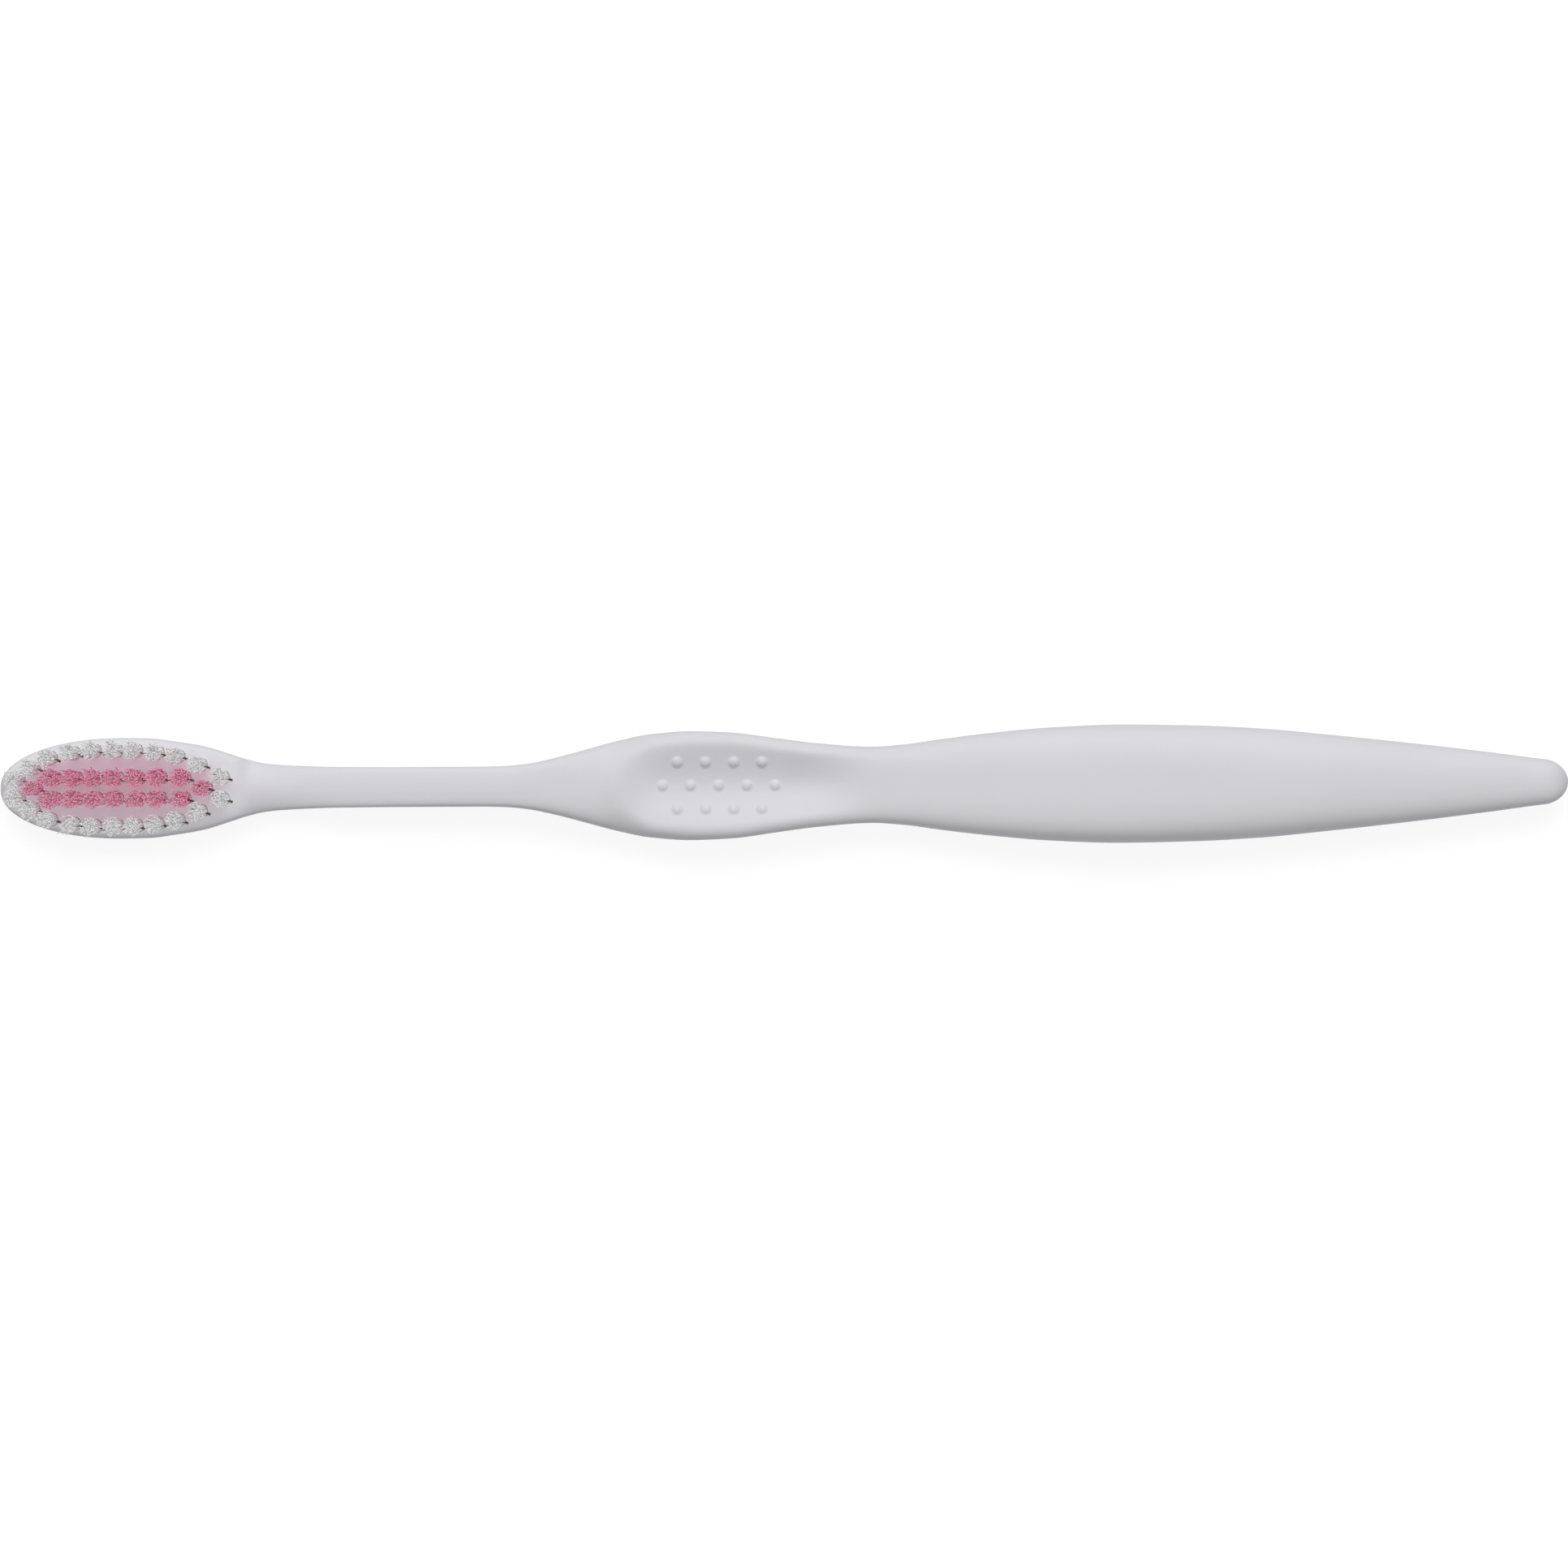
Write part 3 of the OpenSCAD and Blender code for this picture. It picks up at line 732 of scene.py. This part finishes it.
def make_tuft(name, place, spread, pitch, stray, material, seed):
    """A tuft of strands: their feet lie in rings in the hole, each leans out along a gentle bow to
    its place in the spread tip, and some stray on towards one side. A ring of points carried along
    each strand ends in a dome."""
    rng = np.random.default_rng(seed)
    foot = strand_feet(rng.uniform(0.5, 1.5), pitch)
    count = len(foot)
    tip = foot * np.array(spread) + rng.normal(0, tip_scatter, (count, 2))
    strays = (rng.random(count) < stray_share) * rng.uniform(0.3, 1, count)
    scatter = rng.normal(0, stray_scatter * math.hypot(*stray), (count, 2))
    tip += strays[:, None] * (np.array(stray) + scatter)
    bow = rng.normal(0, bow_scatter, (count, 2))
    top = head_t + bristle_len - rng.uniform(0, tip_droop, count) * (least_droop + strays)
    share = np.array([0, 0.25, 0.5, 0.75, 1])[None, :, None]
    lean = (tip - foot)[:, None, :] * share ** lean_power
    inner = foot[:, None, :] + lean + bow[:, None, :] * np.sin(np.pi * share)
    across = np.abs(-foot[:, 0] * math.sin(anchor_turn) + foot[:, 1] * math.cos(anchor_turn))
    over_anchor = across < anchor_t / 2 + strand_r + fit_gap
    low = np.where(over_anchor, anchor_z + anchor_h + anchor_gap, strand_foot)
    shaft_end = top - strand_r * dome_heights[-1]
    body_z = mix(head_t, shaft_end[:, None], share[..., 0])
    cap_z = shaft_end[:, None] + strand_r * np.array(dome_heights)
    z = np.hstack([low[:, None], body_z, cap_z])
    xy = np.concatenate([foot[:, None, :], inner, np.repeat(inner[:, -1:, :], 2, 1)], 1)
    r = strand_r * np.array(strand_taper)
    rings, sides = len(r), strand_sides
    turns = np.arange(sides) * 2 * np.pi / sides
    ring = np.stack([np.cos(turns), np.sin(turns)], -1)
    points = np.empty((count, rings, sides, 3))
    points[..., :2] = xy[:, :, None, :] + r[None, :, None, None] * ring[None, None] + np.array(place)
    points[..., 2] = z[:, :, None]
    first = np.arange(count) * rings * sides
    start, i, j = np.meshgrid(first, np.arange(rings - 1), np.arange(sides), indexing="ij")
    a = start + i * sides + j
    b = start + i * sides + (j + 1) % sides
    walls = np.stack([a, b, b + sides, a + sides], -1).reshape(-1, 4).tolist()
    lids = (first[:, None] + (rings - 1) * sides + np.arange(sides)).tolist()
    feet = (first[:, None] + sides - 1 - np.arange(sides)).tolist()
    piece = new_piece(name, points.reshape(-1, 3), walls + lids + feet, material)
    give_attribute(piece, "strand_tone", np.repeat(rng.uniform(0, 1, count), rings * sides))
    return piece


def outward(place, reach):
    """The way a tuft's stray strands lean: away from the field's middle, and a little to the head's
    tip where there is room for it."""
    s = place[0] - tip_x
    from_mid = np.array([(s - field_mid) * stray_along, place[1]])
    room = np.clip((s - stray_room_start) / stray_room_len, 0, 1)
    away = from_mid / np.hypot(*from_mid) * np.array([room, 1])
    return reach * (away - np.array([stray_tipward * room, 0]))


plastic = handle_plastic()
pink_nylon = bristle_nylon(
    "pink_nylon", shaft=(0.98, 0.09, 0.41, 1), deep=(0.83, 0.25, 0.39, 1), pale=(0.9, 0.39, 0.52, 1)
)
white_nylon = bristle_nylon(
    "white_nylon", shaft=(0.98, 0.97, 0.98, 1), deep=(0.95, 0.94, 0.95, 1), pale=(1, 0.99, 1, 1)
)
brass = anchor_metal()

handle = make_handle(plastic)
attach(handle, "root")
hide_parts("handle")

tufts = []
pink_spreads = [pink_row_spread] * 2 * len(pink_row_shares) + [nose_spread, end_spread]
for i, (place, spread) in enumerate(zip(pink_places, pink_spreads)):
    name = f"pink_bristles_{i + 1:02d}"
    tuft = make_tuft(name, place, spread, pink_pitch, outward(place, pink_stray), pink_nylon, 100 + i)
    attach(tuft, "root")
    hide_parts(f"pink_tuft_{i + 1:02d}")
    tufts.append(tuft)

for i, place in enumerate(white_places):
    name = f"white_bristles_{i + 1:02d}"
    stray = outward(place, white_stray)
    tuft = make_tuft(name, place, white_spread, white_pitch, stray, white_nylon, 200 + i)
    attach(tuft, "root")
    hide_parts(f"white_tuft_{i + 1:02d}")
    tufts.append(tuft)

for name in ("pink_anchors", "white_anchors"):
    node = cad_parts[name]
    node.data.materials.clear()
    node.data.materials.append(brass)


# Floor, light and camera

def make_floor():
    """A pale table top. What looks at it sees white with a faint shadow."""
    material, tree, shader, place = new_material("pale_table")
    seen = seen_ray(tree)
    tone = place_group(tree, tone_drift, {
        "Place": place, "Size": 3.0, "Fleck size": 40.0, "Fleck": 0.2,
        "First tone": (0.49, 0.49, 0.49, 1), "Second tone": (0.51, 0.51, 0.51, 1),
    })
    shade = mixed_colour(tree, seen, tone.outputs["Colour"], (0.2, 0.2, 0.2, 1))
    tree.links.new(shade, shader.inputs["Base Color"])
    shader.inputs["Roughness"].default_value = 0.9
    shader.inputs["Specular IOR Level"].default_value = 0.0
    lift = add(tree, "Math", {0: seen, 1: 0.86}, operation="MULTIPLY")
    shader.inputs["Emission Color"].default_value = (1, 1, 1, 1)
    tree.links.new(lift.outputs[0], shader.inputs["Emission Strength"])
    half = table_size / 2
    points = np.array([(-half, -half, 0), (half, -half, 0), (half, half, 0), (-half, half, 0)]) / MM
    floor = new_piece("table", points, [(0, 1, 2, 3)], material)


def make_lamp(name, place, size, power, passes=()):
    """A soft rectangular lamp that faces the middle of the brush, whose light passes some pieces."""
    lamp = bpy.data.lights.new(name, "AREA")
    lamp.shape = "RECTANGLE"
    lamp.size, lamp.size_y = size
    lamp.energy = power
    piece = bpy.data.objects.new(name, lamp)
    piece.location = place
    piece.rotation_euler = Vector(place).to_track_quat("Z", "Y").to_euler()
    piece.visible_camera = False
    bpy.context.scene.collection.objects.link(piece)
    if passes:
        clear = bpy.data.collections.new(name + "_passes")
        for item in passes:
            clear.objects.link(item)
        for entry in clear.collection_objects:
            entry.light_linking.link_state = "EXCLUDE"
        piece.light_linking.blocker_collection = clear


def make_world(strength):
    """An even room that lights the brush at a strength and is seen as white."""
    world = bpy.data.worlds.new("room")
    world.use_nodes = True
    tree = world.node_tree
    tree.nodes.clear()
    strengths = add(tree, "MapRange", {"Value": seen_ray(tree), "To Min": strength, "To Max": 1.0})
    glow = add(tree, "Background", {"Color": (1, 1, 1, 1), "Strength": strengths.outputs["Result"]})
    out = tree.nodes.new("ShaderNodeOutputWorld")
    tree.links.new(glow.outputs["Background"], out.inputs["Surface"])
    bpy.context.scene.world = world


def make_camera():
    """A long lens straight above the brush, turned a little. At edge_height, about the height of
    the brush's two ends, its length fills the square picture from side to side."""
    camera = bpy.data.cameras.new("camera")
    camera.sensor_width = 36
    camera.lens = camera.sensor_width * (camera_height - edge_height) / (overall_len * MM)
    piece = bpy.data.objects.new("camera", camera)
    piece.location = (0, camera_offset, camera_height)
    piece.rotation_euler = (0, 0, camera_turn)
    bpy.context.scene.collection.objects.link(piece)
    bpy.context.scene.camera = piece


# The lamp is in two parts, because nylon lets most of its light through: the tufts stop only one.
# Places and sizes here are in metres.
table_size = 5
lamp_place = (0, 0.75, 1.05)
lamp_size = (1.3, 0.6)
lamp_power = 10.9
nylon_share = 0.7
room_strength = 0.425
camera_height = 1.15
edge_height = 0.0035
camera_offset = 0.00015
camera_turn = math.radians(-0.267)

make_floor()
make_lamp("light_through_nylon", lamp_place, lamp_size, lamp_power * nylon_share, tufts)
make_lamp("light_stopped_by_nylon", lamp_place, lamp_size, lamp_power * (1 - nylon_share))
make_world(room_strength)
make_camera()
bpy.context.scene.view_settings.view_transform = "Standard"
